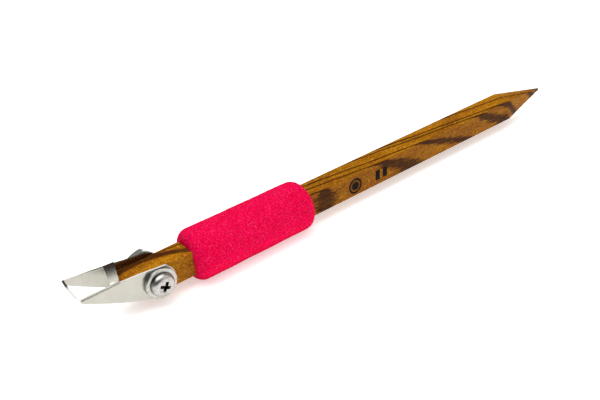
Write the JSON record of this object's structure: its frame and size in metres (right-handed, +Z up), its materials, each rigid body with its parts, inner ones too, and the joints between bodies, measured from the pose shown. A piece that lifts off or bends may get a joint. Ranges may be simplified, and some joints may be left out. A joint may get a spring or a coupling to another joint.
{
  "type": "clay carving tool",
  "caption": "Carving tool: a folded sheet-steel tip with a straight cutting bar, bolted across the front of a square hardwood handle that has a foam sleeve as its grip.",
  "frame": {"origin": "middle of the narrow flat under the foam sleeve, which the tool rests on", "axes": "+X along the handle towards its rear point, +Z up through the top of the tip, +Y towards the nut"},
  "size_m": [0.1925, 0.0184, 0.0158],
  "materials": {
    "handle_wood": "oiled hardwood, golden brown with dark grain",
    "grip_foam": "fine open-cell foam, matt, bright pink",
    "blade_steel": "satin rolled sheet steel",
    "fastener_steel": "bright zinc-plated steel"
  },
  "bodies": {
    "handle": {"handle": "handle_wood"},
    "grip": {"foam_grip": "grip_foam"},
    "blade": {"blade": "blade_steel"},
    "screw": {"clamp_screw": "fastener_steel", "head_washer": "fastener_steel"},
    "far_washer": {"nut_washer": "fastener_steel"},
    "nut": {"hex_nut": "fastener_steel"}
  },
  "joints": [
    {"name": "grip_slide", "type": "slide", "parent": "handle", "child": "grip", "axis": [1, 0, 0], "range_m": [-0.0045, 0.092]},
    {"name": "blade_tilt", "type": "hinge", "parent": "handle", "child": "blade", "pos_m": [-0.032, 0, 0.00775], "axis": [0, 1, 0], "range_deg": [-30, 60]},
    {"name": "screw_turn", "type": "hinge", "parent": "handle", "child": "screw", "pos_m": [-0.032, 0, 0.00775], "axis": [0, 1, 0], "continuous": true},
    {"name": "washer_slide", "type": "slide", "parent": "handle", "child": "far_washer", "axis": [0, 1, 0], "range_m": [0, 0.00159]},
    {"name": "nut_turn", "type": "hinge", "parent": "far_washer", "child": "nut", "pos_m": [-0.032, 0, 0.00775], "axis": [0, 1, 0], "range_deg": [0, 727]}
  ],
  "couplings": [
    {"joint": "nut_turn", "follows": "washer_slide", "rad_per_m": 7915.7}
  ]
}
